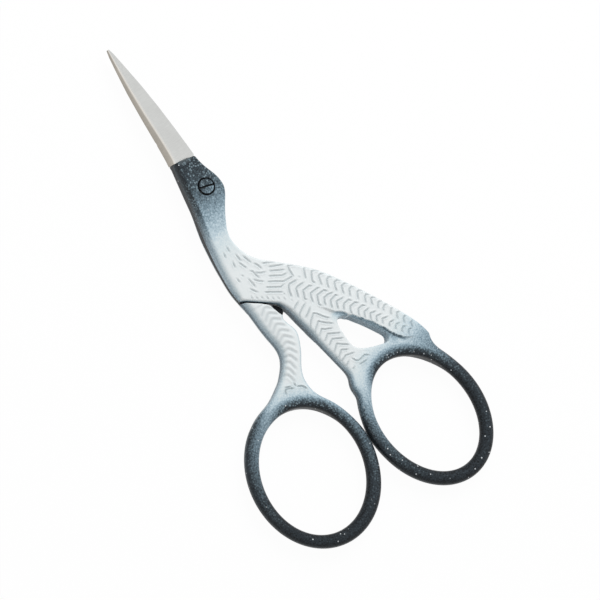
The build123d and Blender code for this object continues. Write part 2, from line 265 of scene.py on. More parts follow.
# A point of an eye's hole or rim: degrees round from its top
def onEye(eye, degrees, which):
    turn = np.radians(np.asarray(degrees, float))
    across, along = eye[which]
    lean = math.radians(eye["lean"] if which == "hole" else eye["rimLean"])
    up = along * np.cos(turn)
    out = across * np.sin(turn)
    x = eye["x"] + up * math.sin(lean) + out * math.cos(lean)
    y = eye["y"] + up * math.cos(lean) - out * math.sin(lean)
    return np.stack([x, y], -1)


# Both eyes swell a little towards each other where they nearly touch
def swelled(rim, towards):
    y, reach, swell = bodyLines["touch"]
    near = np.exp(-((rim[:, 1] - y) / reach) ** 2) * (np.abs(rim[:, 0]) < 3)
    return rim + np.stack([towards * swell * near, np.zeros(len(rim))], 1)


def eyeAngle(eye, spots):
    lean = math.radians(eye["lean"])
    dx, dy = spots[:, 0] - eye["x"], spots[:, 1] - eye["y"]
    up = dx * math.sin(lean) + dy * math.cos(lean)
    out = dx * math.cos(lean) - dy * math.sin(lean)
    return np.degrees(np.arctan2(out / eye["hole"][0], up / eye["hole"][1]))


def bodyOutline():
    step = common["outlineStep"]
    front = smoothLine(neckLines["front"], step)
    nape = smoothLine(neckLines["nape"] + bodyLines["back"][1:] + bodyLines["wingTip"][:1], step)
    eye = bodyLines["eye"]
    entry = [tuple(onEye(eye, d, "rim")) for d in (-50, -56)]
    strut = smoothLine([neckLines["bellyCorner"]] + bodyLines["strutFront"] + entry, step)
    rim = swelled(onEye(eye, np.linspace(-57, -288, 300), "rim"), -1)
    leave = [tuple(onEye(eye, d, "rim")) for d in (71, 64)]
    cheek = smoothLine(leave + bodyLines["cheek"][::-1] + bodyLines["wingTip"][1::-1], step)
    wire = bodyLines["wireRound"]
    headRight = corner(nape[6], nape[0], front[4], neckLines["headCorner"])
    headLeft = corner(nape[4], front[0], front[6], neckLines["headCorner"])
    frontStart = np.linalg.norm(front - front[0], axis=1) > neckLines["headCorner"]
    napeStart = np.linalg.norm(nape - nape[0], axis=1) > neckLines["headCorner"]
    return joined(
        (front[frontStart], neckLines["frontRound"], neckLines["frontBevel"], neckLines["frontWall"]),
        (straight(neckLines["front"][-1], neckLines["bellyCorner"], step), [0.3], [0], [0.1]),
        (strut, [0.4, 0.7, 0.7, 0.7, 0.8, wire], [0], bodyLines["strutWall"]),
        (rim, [wire], [0], [0.7]),
        (cheek, [wire, 0.8, 0.5], [0], [0.6]),
        (nape[napeStart][::-1], [0.45, 0.5, 0.55, 0.6, 0.55, 0.5, 0.4, 0.3, 0.28], [0], [0.7]),
        (headRight, [0.25], [0], [0.6]),
        (headLeft, [0.25], [0, 0.5], [0.6]),
    )


def hiddenBack(shift=0.0, stop=False):
    follow = [(x - 0.1, y) for x, y in neckLines["nape"][:10]]
    if stop:
        return follow + legLines["hiddenBack"][:-1] + legLines["stop"]
    return [(x + shift, y) for x, y in follow + legLines["hiddenBack"]]


def legOutline():
    step = common["outlineStep"]
    eye = legLines["eye"]
    entry = [tuple(onEye(eye, d, "rim")) for d in (-34, -42)]
    front = smoothLine(neckLines["front"][:-1] + legLines["shin"] + entry, step)
    rim = swelled(onEye(eye, np.linspace(-43, -310, 330), "rim"), 1)
    leave = [tuple(onEye(eye, d, "rim")) for d in (49, 43)]
    back = smoothLine(leave + legLines["calf"][::-1] + hiddenBack(stop=True)[::-1], step)
    headRight = corner(back[-7], back[-1], front[4], neckLines["headCorner"])
    headLeft = corner(back[-5], front[0], front[6], neckLines["headCorner"])
    frontStart = np.linalg.norm(front - front[0], axis=1) > neckLines["headCorner"]
    backEnd = np.linalg.norm(back - back[-1], axis=1) > neckLines["headCorner"]
    wire = bodyLines["wireRound"]
    return joined(
        (front[frontStart], legLines["frontRound"] + [wire], [0.8, 0.8, 0.6] + [0] * 10,
         legLines["frontWall"]),
        (rim, [wire], [0], [0.7]),
        (back[backEnd], [wire, 0.9, 0.8, 0.75, 0.7, 0.6, 0.4, 0.3, 0.3, 0.28], [0], [0.6, 0.5, 0.4, 0.3]),
        (headRight, [0.25], [0], [0.6]),
        (headLeft, [0.25], [0, 0.8], [0.6]),
    )


# Feather work. Each stroke is a shallow groove, read off one by one: wing rows, breast, strut, root
feathers = {
    "wingUpper": [
        [(4.0, -21), (4.1, -19.5), (4.3, -19), (5.2, -19.3), (6.4, -20.2)],
        [(5.65, -22.5), (6.1, -21.5), (6.4, -20.9), (6.8, -20.8), (7.5, -21.3)],
        [(6.65, -24), (6.4, -23.4), (6.8, -22.7), (7.3, -22), (8, -22.1), (8.6, -22.7)],
        [(7.4, -24.9), (7.7, -24), (7.9, -23.3), (8.4, -23.2), (9.2, -23.5)],
        [(8.2, -26), (8.4, -25.3), (8.8, -24.6), (9.4, -24.4), (10, -24.8)],
        [(9.1, -27.2), (9.3, -26.4), (9.7, -25.7), (10.3, -25.6), (11, -26.1)],
        [(9.9, -28.3), (10.1, -27.5), (10.4, -26.9), (11, -26.8), (11.7, -27.1)],
        [(10.6, -29.2), (10.9, -28.6), (11.2, -28.1), (11.9, -27.9), (12.5, -28.4)],
        [(11.5, -30.4), (11.8, -29.8), (12.2, -29.2), (12.8, -29.2), (13.3, -29.7)],
        [(12.3, -31.6), (12.6, -31), (12.8, -30.6), (13.3, -30.4), (13.9, -30.8)],
        [(13.1, -32.6), (13.3, -31.9), (13.6, -31.4), (14.1, -31.5), (14.6, -31.9)],
        [(13.6, -33.6), (13.9, -33.1), (14.3, -32.7), (14.8, -32.7), (15.3, -33)],
        [(14.2, -34.5), (14.4, -34), (14.9, -33.7), (15.4, -33.7), (15.8, -34)],
        [(14.9, -35.7), (15.2, -35.2), (15.6, -34.8), (16.1, -34.8)],
        [(15.5, -36.9), (15.7, -36.4), (16.1, -35.9), (16.8, -36)],
        [(16.1, -38.1), (16.4, -37.4), (16.8, -37.1), (17.3, -37.2)],
        [(16.9, -39.4), (17.2, -38.6), (17.7, -38.4)],
    ],
    "wingMiddle": [
        [(1.6, -23.7), (1.9, -22.6), (2.2, -22), (2.6, -21.7), (4.2, -21.8)],
        [(2.55, -24.5), (2.9, -23.6), (3.1, -23), (3.6, -22.8), (5, -22.8)],
        [(3.7, -25.6), (3.4, -25.2), (3.8, -24.4), (4, -23.9), (5.4, -23.8), (5.9, -24.1)],
        [(4.3, -26.6), (4.55, -25.6), (4.9, -25), (6.5, -24.9), (6.8, -25.1)],
        [(5.3, -27.8), (5, -27.4), (5.3, -26.6), (5.7, -25.9), (7.2, -25.8), (7.7, -26.3)],
        [(5.9, -28.2), (6.1, -27.5), (6.5, -26.9), (7.4, -26.8), (8.4, -27)],
        [(6.6, -29.2), (6.9, -28.4), (7.2, -27.9), (8.5, -27.6), (8.8, -27.9)],
        [(7.4, -29.9), (7.7, -29.1), (8, -28.6), (9.5, -28.7)],
        [(8.2, -30.6), (8.6, -29.9), (9, -29.6), (10, -29.5), (10.4, -29.9)],
        [(9, -31.9), (9.2, -31.1), (9.6, -30.6), (10.7, -30.5), (11.2, -30.9)],
        [(9.9, -32.9), (10.2, -32.2), (10.6, -31.7), (11.5, -31.6), (12, -32)],
        [(10.6, -33.7), (10.9, -33.1), (11.2, -32.7), (12.3, -32.6)],
        [(11.3, -34.6), (11.6, -33.9), (11.9, -33.5), (13, -33.7)],
        [(12, -35.4), (12.3, -34.8), (12.6, -34.5), (13.6, -34.6)],
        [(12.7, -36.2), (13, -35.7), (13.2, -35.4), (14.3, -35.6)],
        [(13.4, -37.2), (13.7, -36.8), (14, -36.6), (14.9, -36.7)],
        [(14.1, -38.2), (14.4, -37.7), (14.8, -37.5), (15.5, -37.6)],
        [(14.8, -39.2), (15.1, -38.7), (15.5, -38.5), (16.1, -38.6)],
        [(15.6, -40.1), (15.9, -39.6), (16.2, -39.4), (16.8, -39.5)],
    ],
    "shoulder": [
        [(0.6, -16.2), (2, -16.8), (3, -17.3)],
        [(1.2, -17.3), (2.2, -17.7), (3.9, -18.4)],
        [(0.9, -17.95), (1.6, -18.3), (3.4, -19.2)],
        [(0.25, -18.6), (1.2, -19.1), (2.4, -19.8), (3.4, -19.9)],
        [(-0.5, -19.3), (0.6, -19.9), (2.1, -20.8), (4.1, -20.9)],
        [(-1.3, -19.95), (0, -20.7), (1, -21.3), (1.8, -21.2)],
        [(-2, -20.5), (-0.5, -21.4), (0.8, -22.2)],
        [(4.75, -21.5), (4.95, -21.7)],
    ],
    "edgeTicks": [
        [(-4.45, -19.75), (-4.6, -20.3)], [(-3.8, -20.3), (-3.75, -20.8)], [(-2.95, -20.8), (-2.95, -21.3)],
        [(-2.15, -21.3), (-2.15, -21.9)], [(-1.3, -21.9), (-1.35, -22.4)], [(-0.5, -22.4), (-0.5, -22.9)],
        [(0.35, -23.1), (0.35, -23.5)], [(1.3, -24.1), (1.3, -24.3)], [(0.8, -22.5), (0.8, -22.7)],
    ],
    "breast": [
        [(-2.55, -12.4), (-2.5, -13.2), (-2.35, -13.9)],
        [(-3.7, -13.1), (-3.9, -13.8), (-3.95, -14.3)],
        [(-1.65, -13.3), (-1.3, -14.2), (-1.05, -15)],
        [(-2.9, -13.9), (-2.6, -14.6), (-2.3, -15.4)],
        [(-0.75, -15.4), (-0.45, -15.7), (-0.2, -16.2), (0, -16.9)],
        [(-2.1, -16.1), (-1.8, -16.3), (-1.6, -17), (-1.3, -18)],
        [(-3.8, -15.9), (-3.6, -16.3)],
        [(-3.1, -17), (-3, -17.8), (-2.85, -18.9)],
        [(-2.4, -17.6), (-1.8, -18.3), (-1, -18.9)],
        [(-3.9, -18.6), (-3.4, -19.4), (-3, -19.9)],
        [(-1.4, -16.8), (-0.4, -17.5), (0.3, -17.7)],
        [(-4.85, -15.9), (-4.75, -16.8)],
        [(-3.2, -10.5), (-3.3, -11.5)],
        [(-4.3, -11), (-4.5, -12)],
    ],
    "strut": [
        [(0.6, -25.8), (1.3, -25.4), (2.2, -25)],
        [(0.7, -27.3), (1.2, -26.8), (2.3, -26.2), (3.1, -25.9)],
        [(1.6, -28), (2.7, -27.4), (3.4, -26.9)],
        [(1.2, -29.9), (2, -29), (3.2, -28.1), (3.7, -28.45), (4.6, -29.6), (5.4, -30.3)],
        [(1.3, -31.2), (2.2, -30.4), (3.2, -29.7), (4.3, -30.6), (5.4, -31.4)],
        [(1.8, -32), (3, -31.1), (3.6, -31.5), (4.8, -32)],
        [(2.2, -33.2), (3.45, -32.35), (5.5, -33.4)],
        [(2.4, -34.2), (3.6, -33.5), (5.4, -34.4)],
        [(2.5, -35.6), (3.8, -34.6), (5.6, -35.9)],
        [(2.6, -36.8), (3.9, -35.9), (5, -36.5)],
        [(2.6, -37.6), (4, -37.1), (5.6, -37.5)],
        [(2.9, -38.7), (4, -38.1)],
        [(4.6, -38), (5, -38.8), (5.5, -39.05), (6.9, -38.8), (7.6, -39.3)],
        [(3.6, -39.75), (4.2, -39.5)],
        [(5.1, -39.7), (6.8, -39.75)],
    ],
    "legRoot": [
        [(-8.8, -35.95), (-8.2, -36.15), (-7.7, -36.4)],
        [(-6.95, -36), (-7, -36.7)],
        [(-6.8, -36.9), (-6, -37.3), (-5.5, -38.2)],
        [(-9.3, -37), (-9, -36.4), (-7.5, -36.9)],
    ],
    "depth": {"wingUpper": 0.15, "wingMiddle": 0.16, "shoulder": 0.14, "edgeTicks": 0.14, "breast": 0.13,
              "strut": 0.15, "legRoot": 0.18, "legArcs": 0.10},
    "width": {"wingUpper": 0.12, "wingMiddle": 0.12, "shoulder": 0.12, "edgeTicks": 0.12, "breast": 0.13,
              "strut": 0.12, "legRoot": 0.12, "legArcs": 0.20},
    "curved": ["legArcs", "breast", "legRoot"],
    "lip": 0.075, "lipAt": 2.3, "lipWide": 0.8,
    "endFade": 0.28, "endLeft": 0.35,     # each stroke runs out over this length, to this share
    "shadeWide": 1.25, "shadeDeep": 0.15,
    "legMiddle": [(-3.55, -22.6), (-3.6, -24.5), (-3.6, -26), (-3.7, -28.5), (-4.2, -30.5), (-5, -32),
                  (-6.2, -33.3), (-7.4, -34.6)],
    "legPitch": 1.15,
    "legArm": 1.45,
    "legTrail": 0.62,
}

# The wing stands on the strut and the root along a toothed edge
wingEdge = {
    "line": [(4.2, -27.0), (5.0, -27.8), (5.8, -28.7), (6.2, -29.2), (6.9, -29.9), (7.6, -30.3), (8.3, -31),
             (8.5, -31.7), (9.2, -32), (9.8, -32.9), (10.2, -33.2), (10.6, -33.9), (11.3, -34.6),
             (11.6, -35), (12.1, -36), (12.7, -36.8), (13.2, -38), (13.8, -38.9), (14.7, -40.0),
             (15.8, -40.6), (17.4, -41.3), (18.7, -42.5), (20.5, -43.5)],
    "around": [(20.5, -60), (-2, -60), (-2, -26.5), (1.0, -24.6)],
    "drop": 0.40,
    "fadeFrom": 17.0, "fadeTo": 19.5,
    "soft": 0.09,
}

heights = {
    "climb": [(6.6, 4.0), (5.85, 4.05), (3.0, 4.2), (0.39, 4.30), (-8.19, 4.30), (-11.5, 4.18), (-14.6, 3.98),
              (-17, 3.90), (-19.11, 3.88)],
    "leg": 3.75,
    "crown": 0.10,
}


def legArcs():
    line = smoothLine(feathers["legMiddle"], 0.05)
    run = np.concatenate([[0.0], np.cumsum(np.linalg.norm(np.diff(line, axis=0), axis=1))])
    arcs = []
    for at in np.arange(0.2, run[-1], feathers["legPitch"]):
        i = int(np.searchsorted(run, at))
        i = min(max(i, 1), len(line) - 2)
        ahead = line[i + 1] - line[i - 1]
        ahead = ahead / np.linalg.norm(ahead)
        out = np.array([-ahead[1], ahead[0]])
        arm, trail = feathers["legArm"], feathers["legTrail"]
        arcs.append([
            tuple(line[i] - out * arm + ahead * arm * trail),
            tuple(line[i] - out * arm * 0.5 + ahead * arm * trail * 0.38),
            tuple(line[i]),
            tuple(line[i] + out * arm * 0.5 + ahead * arm * trail * 0.38),
            tuple(line[i] + out * arm + ahead * arm * trail),
        ])
    return arcs


# All strokes of one half, cut fine: (points, depth, width)
def strokesOf(names):
    strokes = []
    for name in names:
        for points in legArcs() if name == "legArcs" else feathers[name]:
            if name in feathers["curved"] and len(points) > 2:
                line = smoothLine(points, 0.11)
            else:
                runs = [straight(a, b, 0.11)[:-1] for a, b in zip(points[:-1], points[1:])]
                line = np.vstack(runs + [[points[-1]]])
            strokes.append((line, feathers["depth"][name], feathers["width"][name]))
    return strokes


# How deep the carving is at each spot, and how much painted shade lies in its grooves
def carve(spots, strokes):
    depth = np.zeros(len(spots))
    shade = np.zeros(len(spots))
    for line, deep, wide in strokes:
        low, high = line.min(0) - 0.6, line.max(0) + 0.6
        near = np.where(((spots > low) & (spots < high)).all(1))[0]
        if not len(near):
            continue
        far, along, _ = nearLine(spots[near], line)
        length = np.linalg.norm(np.diff(line, axis=0), axis=1).sum()
        end = np.clip(np.minimum(along, length - along) / feathers["endFade"], 0, 1)
        full = feathers["endLeft"] + (1 - feathers["endLeft"]) * end
        cut = -deep * np.exp(-(far / wide) ** 2) * full
        raised = np.exp(-((far - feathers["lipAt"] * wide) / (feathers["lipWide"] * wide)) ** 2)
        cut += feathers["lip"] * raised * full
        depth[near] = np.where(np.abs(cut) > np.abs(depth[near]), cut, depth[near])
        paintedShade = np.exp(-(far / (feathers["shadeWide"] * wide)) ** 2) * full * deep / feathers["shadeDeep"]
        shade[near] = np.maximum(shade[near], paintedShade)
    return depth, shade


# How far each edge pulls the face down
def rounding(far, radius):
    inner = np.clip(far, 0, radius)
    return radius - np.sqrt(np.maximum(radius ** 2 - (radius - inner) ** 2, 0))


# A flat net of triangles inside the outline, with rows of points along each edge and stroke
def net(outline, holes, strokes, extraLines):
    step = common["gridStep"]
    loops = [outline] + holes
    spots = [np.vstack(loops)]
    inner = []
    for loop, outward in zip(loops, [1.0] + [-1.0] * len(holes)):
        along = np.roll(loop, -1, axis=0) - np.roll(loop, 1, axis=0)
        inner += beside(loop, along, [outward * row for row in common["rimRows"]])
    rowCount = [len(part) for part in inner]
    rows = np.vstack(inner)
    rowDepth = np.concatenate([
        np.full(n, common["rimRows"][k % len(common["rimRows"])]) for k, n in enumerate(rowCount)
    ])
    lines = []
    for line, _, wide in strokes:
        lines += beside(line, np.gradient(line, axis=0), (0.0, wide, -wide, 2.1 * wide, -2.1 * wide))
    for line, offsets in extraLines:
        lines += beside(line, np.gradient(line, axis=0), offsets)
    low, high = outline.min(0), outline.max(0)
    xs = np.arange(low[0], high[0], step)
    ys = np.arange(low[1], high[1], step * 0.866)
    gx, gy = np.meshgrid(xs, ys)
    gx = gx + (np.arange(len(ys)) % 2)[:, None] * step / 2
    grid = np.stack([gx.ravel(), gy.ravel()], 1)
    grid = grid[within(grid, outline[::3])]
    for hole in holes:
        grid = grid[~within(grid, hole[::3])]
    fine = np.vstack(lines) if lines else np.zeros((0, 2))
    grid = grid[clearance(grid, loops) > common["rimRows"][-1] * 0.8 + 0.1]
    if len(fine):
        cells = set(map(tuple, np.round(fine / (step * 0.75)).astype(int)))
        grid = grid[[tuple(c) not in cells for c in np.round(grid / (step * 0.75)).astype(int)]]
    candidates = np.vstack([rows, fine])
    needed = np.concatenate([rowDepth * 0.9, np.full(len(fine), 0.05)])
    insides = within(candidates, outline)
    for hole in holes:
        insides &= ~within(candidates, hole)
    candidates = candidates[insides & (clearance(candidates, loops) >= needed)]
    allSpots = np.vstack([spots[0], candidates, grid])
    edges, start = [], 0
    for loop in loops:
        n = len(loop)
        edges += [(start + i, start + (i + 1) % n) for i in range(n)]
        start += n
    result = geometry.delaunay_2d_cdt([Vector(p) for p in allSpots], edges, [], 1, 1e-6, True)
    found = np.array([v[:] for v in result[0]])
    origin = result[3]
    faces = np.array([f[:] for f in result[2]])
    loopOf = np.full(len(found), -1)
    rank = np.full(len(found), -1)
    for i, sources in enumerate(origin):
        for source in sources:
            if source < start:
                k, rest = 0, source
                while rest >= len(loops[k]):
                    rest -= len(loops[k])
                    k += 1
                loopOf[i] = k
                rank[i] = rest
                break
    a, b, c = loopOf[faces[:, 0]], loopOf[faces[:, 1]], loopOf[faces[:, 2]]
    inHole = (a == b) & (b == c) & (a > 0)
    faces = faces[~inHole]
    middle = found[faces].mean(1)
    onEdge = (loopOf[faces] == 0).all(1)
    faces = faces[~(onEdge & ~within(middle, outline))]
    faceUp(found, faces)
    rings = []
    for k, loop in enumerate(loops):
        ring = np.full(len(loop), -1)
        for i in np.where(loopOf == k)[0]:
            ring[rank[i]] = i
        rings.append(ring[ring >= 0])
    return found, faces, rings


# Closes a net with its top and bottom heights and its walls into one mesh; rows down the walls carry painted
# shade
def plateMesh(name, spots, faces, rings, top, bottom, attributes, wallShares):
    count = len(spots)
    points = np.zeros((2 * count, 3))
    points[:count, :2] = spots
    points[count:, :2] = spots
    points[:count, 2] = top
    points[count:, 2] = bottom
    values = {key: [np.concatenate(pair)] for key, pair in attributes.items()}
    allPoints, total = [points], 2 * count
    polygons = [tuple(f) for f in faces] + [tuple(f[::-1] + count) for f in faces]
    for ring, dark in zip(rings, wallShares):
        levels = [ring]
        for part, share in common["wallRows"]:
            row = points[ring].copy()
            row[:, 2] = points[ring, 2] * (1 - part) + points[ring + count, 2] * part
            allPoints.append(row)
            # the wall rows are painted darker as shade
            kept = {"paleness": 1 - (1 - dark) * share, "carving": 0, "speckle": 1}
            for key in values:
                values[key].append(values[key][0][ring] * kept[key])
            levels.append(np.arange(total, total + len(ring)))
            total += len(ring)
        levels.append(ring + count)
        for upper, lower in zip(levels[:-1], levels[1:]):
            for i, j, k, m in zip(upper, lower, np.roll(lower, -1), np.roll(upper, -1)):
                polygons.append((i, j, k, m))
    points = np.vstack(allPoints)
    mesh = bpy.data.meshes.new(name)
    mesh.from_pydata((points * common["toMetres"]).tolist(), [], [[int(i) for i in p] for p in polygons])
    for key, parts in values.items():
        storeValues(mesh, key, np.concatenate(parts))
    mesh.validate()
    mesh.update()
    return pieceFrom(name, mesh, 48)


# How pale the enamel is: 1 is the white of the breast, 0 the near black of the eyes
enamelShade = {
    "edge": 0.55,             # painted shade: a thin grey line along the edges
    # painted shade in the band under the wing's edge
    "underWing": 0.42,
    "cusp": 0.72,             # painted shade under the wing's edge, darkest where it leaves the opening
    "neck": [(7, 0.08), (5, 0.09), (3, 0.14), (1, 0.21), (-1, 0.32), (-2.4, 0.43), (-3.4, 0.50), (-4.4, 0.58),
             (-5.4, 0.65), (-7.5, 0.76), (-8.6, 0.87), (-11, 0.94), (-13, 0.98), (-16, 1.0)],
    "wingTip": [(-35, 1.0), (-36.5, 0.95), (-38, 0.88), (-40, 0.78), (-42, 0.62), (-44, 0.5)],
    "bodyRoot": [(-38.5, 1.0), (-40, 0.95), (-42, 0.86), (-44, 0.74), (-47, 0.6)],
    "legRoot": [(-31, 1.0), (-34.5, 0.99), (-37.4, 0.93), (-40, 0.92)],
    "rootOut": [(0, 0.0), (0.4, 0.08), (0.8, 0.19), (1.2, 0.36), (1.6, 0.56), (2.1, 0.78), (3.0, 0.88),
                (5.0, 1.0)],
    # the wires: round the eye partly the enamel's own fade towards the bottom and partly painted highlight on
    # the sides; across the wire a painted highlight along the crest and painted shade at both edges
    "wireRound": [(0, 0.40), (40, 0.46), (80, 0.26), (110, 0.12), (140, 0.06), (180, 0.05)],
    "wireAcross": [(0, 0.0), (0.35, 0.28), (1.1, 1.0), (1.7, 0.8), (2.42, 0.06)],
    "wireBare": 0.62,         # the wires show fewer flecks than the head
    # painted highlight along the inner edge on the eye's left side
    "wireLeft": [(0, 1.15), (0.5, 1.15), (1.2, 1.0), (1.8, 0.75), (2.42, 0.15)],
    "rootLeft": 0.62,         # painted highlight: the inner edge stays paler on that side
    "bodyShift": (-9, 0),     # how much further round the body's root stays pale
    "legShift": (0, 12),
    "bodyRight": 0.45,        # the outer side of the body's eye is darker
}


def listed(values, key):
    at, result = zip(*sorted(enamelShade[key]))
    return np.interp(values, at, result)


def enamelTone(spots, eye, eyeFar, low, high, rootKey):
    x, y = spots[:, 0], spots[:, 1]
    tone = np.minimum(listed(y, "neck"), listed(y, rootKey))
    isBody = rootKey == "bodyRoot"
    if isBody:
        share = ease(x, 8, 13)
        tone = tone * (1 - share) + listed(y - (x - 16) * 0.5, "wingTip") * share
    angle = eyeAngle(eye, spots)
    before, after = enamelShade["bodyShift"] if isBody else enamelShade["legShift"]
    low, high = low + before, high + after
    beyond = np.abs(angle - (low + high) / 2) - (high - low) / 2
    # painted light on the wires: a highlight lifts the inner edge on the eye's left, and across the wire a
    # highlight runs along the crest with shade at both edges
    left = ease(-angle, 12, 40) * (1 - ease(-angle, 85, 112))
    inner = listed(eyeFar, "rootOut")
    root = np.minimum(tone, inner + (1 - inner) * enamelShade["rootLeft"] * left)
    across = listed(eyeFar, "wireAcross") * (1 - left) + listed(eyeFar, "wireLeft") * left
    wire = listed(np.abs(angle), "wireRound") * across
    if isBody:
        wire = wire * (1 - enamelShade["bodyRight"] * ease(angle, 50, 78) * (1 - ease(angle, 100, 135)))
    share = ease(beyond, -18, 16) * (1 - ease(eyeFar, 2.3, 3.6))
    return root * (1 - share) + wire * share, 1 - enamelShade["wireBare"] * share


seat = {"radius": 1.47, "deep": 0.75, "soft": 0.07}     # of the screw's head, in the upper half


# Heights of a half's face, the painted shade in its carving and along its edges, and the painted shade under
# the wing's edge, on the neck's bevel and where edges roll down
def surface(spots, outline, edges, eye, strokes, isBody):
    far, _, _ = nearLine(spots, outline, closed=True)
    radius, bevel = np.zeros(len(spots)), np.zeros(len(spots))
    for low in range(0, len(spots), 4000):
        part = spots[low:low + 4000]
        d2 = ((part[:, None, :] - outline[None]) ** 2).sum(2)
        radius[low:low + 4000] = edges[d2.argmin(1), 0]
        bevel[low:low + 4000] = edges[d2.argmin(1), 1]
    hole = onEye(eye, np.linspace(0, 358.8, 300), "hole")
    eyeFar = nearLine(spots, hole, closed=True)[0]
    y = spots[:, 1]
    climbY, climbZ = zip(*heights["climb"][::-1])
    high = np.interp(y, climbY, climbZ)
    lines = bodyLines if isBody else legLines
    low, to = lines["rimFrom"], lines["rimTo"]
    steep = neckLines["bevelDown"] * np.clip(1 - far / neckLines["bevelIn"], 0, 1)
    drop = rounding(far, radius) * (1 - bevel) + steep * bevel
    if isBody:
        edge = np.array(wingEdge["line"] + wingEdge["around"])
        line = np.array(wingEdge["line"])
        gap, along, _ = nearLine(spots, line)
        inside = within(spots, edge)
        signed = np.where(inside, gap, -gap)
        grow = ease(along, 0.3, 3.5) * (1 - ease(along, wingEdge["fadeFrom"], wingEdge["fadeTo"]))
        under = ease(signed, -wingEdge["soft"], wingEdge["soft"] * 2)
        high = high - wingEdge["drop"] * under * grow
        tail = smoothLine(bodyLines["tailHole"], common["outlineStep"], closed=True)
        tailFar = nearLine(spots, tail, closed=True)[0]
        drop = np.maximum(drop, rounding(tailFar, 0.35))
    else:
        high = np.minimum(high, np.interp(y, [-22, -19], [heights["leg"], 9]))
    high = high + heights["crown"] * (1 - np.exp(-(far / 1.8) ** 2)) * ease(-y, 14, 20)
    angle = eyeAngle(eye, spots)
    beyond = np.maximum(low - angle, angle - to)
    ringShare = ease(beyond, -12, 14) * ease(-eyeFar, -5.0, -2.6)
    wireTop = common["midHeight"] + bodyLines["wireHeight"]
    high = high * (1 - ringShare) + wireTop * ringShare
    drop = np.maximum(drop, rounding(eyeFar, bodyLines["wireRound"]))
    groove, shade = carve(spots, strokes)
    quiet = ease(far, 0.08, 0.32)
    if isBody:                                 # the screw's seat
        ring = np.linalg.norm(spots, axis=1)
        drop = drop + seat["deep"] * (1 - ease(ring, seat["radius"], seat["radius"] + seat["soft"]))
    else:
        edge, _, side = nearLine(spots, smoothLine(legLines["topEdge"], 0.15))
        drop = np.where(side < 0, np.maximum(drop, rounding(edge, legLines["topEdgeRound"])), drop)
    height = high - drop + groove * quiet
    # painted shade: a thin grey line along the edges, away from the wires
    line = enamelShade["edge"] * np.exp(-(far / 0.13) ** 2) * ease(eyeFar, 1.5, 3.5)
    shade = np.maximum(shade * quiet, line)
    under = 0.0
    if isBody:                                 # painted shade under the wing's edge, darkest at the cusp where it leaves the opening
        under = np.exp(-(gap / 1.15) ** 2) * inside * ease(along, 2.5, 5.0) * (1 - ease(along, 16.5, 18.5))
        under = enamelShade["underWing"] * under * ease(-tailFar, -2.0, -1.0)
        cusp = np.exp(-(gap / 0.38) ** 2) * inside * ease(along, 11.5, 13.5) * (1 - ease(along, 16.0, 18.2))
        under = np.maximum(under, enamelShade["cusp"] * cusp)
    # painted shade on the neck's steep bevel
    slope = bevel * (1 - ease(far, neckLines["bevelIn"] - 0.08, neckLines["bevelIn"] + 0.03))
    under = np.maximum(under, neckLines["bevelDark"] * slope)
    # painted shade where a broad rounded edge rolls down to the wall, more at the foot of the strut
    roll = np.clip(1 - far / np.maximum(radius, 0.01), 0, 1) ** 2 * ease(radius, 0.5, 0.8)
    roll = roll * ease(eyeFar, 1.2, 2.0)
    lower = 1 + neckLines["slopeLower"] * ease(-y, 38, 43) * isBody
    under = np.maximum(under, neckLines["slopeDark"] * roll * lower)
    return height, shade, eyeFar, low, to, under


def makeHalf(name, isBody):
    eye = (bodyLines if isBody else legLines)["eye"]
    outline, edges = bodyOutline() if isBody else legOutline()
    holes = [onEye(eye, np.linspace(0, 358.8, 300), "hole")]
    turn = np.linspace(0, 2 * math.pi, 90)
    if isBody:
        holes.append(smoothLine(bodyLines["tailHole"], common["outlineStep"], closed=True))
        names = ["wingUpper", "wingMiddle", "shoulder", "edgeTicks", "breast", "strut"]
        step = smoothLine(hiddenBack(0.3), 0.2)
        toothed = np.vstack([
            straight(a, b, 0.15) for a, b in zip(wingEdge["line"][:-1], wingEdge["line"][1:])
        ])
        extraLines = [(np.vstack([step, step[-1:] + [[0.2, -1.0]]]), (-0.03, 0.03))]
        extraLines += [(circle(turn, seat["radius"] + far), (0.0,)) for far in (0.0, seat["soft"])]
        extraLines.append((toothed, (-0.09, 0.0, 0.09, 0.18)))
    else:
        names = ["legArcs", "legRoot", "breast"]
        extraLines = [(smoothLine(legLines["topEdge"], 0.15), (0.03, -0.01, -0.05, -0.12, -0.2))]
        extraLines += [(circle(turn, reach), (0.0,)) for reach in legLines["boreFoot"][:2]]
    holes = [h if signedArea(h) > 0 else h[::-1] for h in holes]
    strokes = strokesOf(names)
    spots, faces, rings = net(outline, holes, strokes, extraLines)
    height, shade, eyeFar, low, to, under = surface(spots, outline, edges, eye, strokes, isBody)
    mirrored = 2 * common["midHeight"] - height
    side = nearLine(spots, extraLines[0][0])[2]
    fromPivot = np.linalg.norm(spots, axis=1)
    if isBody:
        upperOnly = (side < 0) & (spots[:, 1] >= bodyLines["breastFoot"])
        bottom = np.where(upperOnly, common["seamTop"], np.minimum(mirrored, common["seamTop"]))
        top = height
        covered = fromPivot < seat["radius"] + 0.1
    else:
        covered = side > 0
        top = np.where(covered, common["seamBelow"], np.maximum(height, common["seamBelow"]))
        inner, outer, deep = legLines["boreFoot"]
        bottom = mirrored + deep * (1 - ease(fromPivot, inner, outer))
    tone, speckle = enamelTone(spots, eye, eyeFar, low, to, "bodyRoot" if isBody else "legRoot")
    attributes = {
        # painted shadow: black where the other half covers the leg and in the screw's seat round its head
        "paleness": (np.where(covered, 0.0, tone * (1 - under)), tone),
        "carving": (np.where(covered, 0, shade), shade),
        "speckle": (speckle, speckle),
    }
    # painted shade on the walls: the outline's own values, then the eye's and the tail opening's
    walls = [edges[:, 2]] + [np.full(len(h), dark) for h, dark in zip(holes, (0.4, 0.8))]
    return plateMesh(name, spots, faces, rings, top, bottom, attributes, walls)


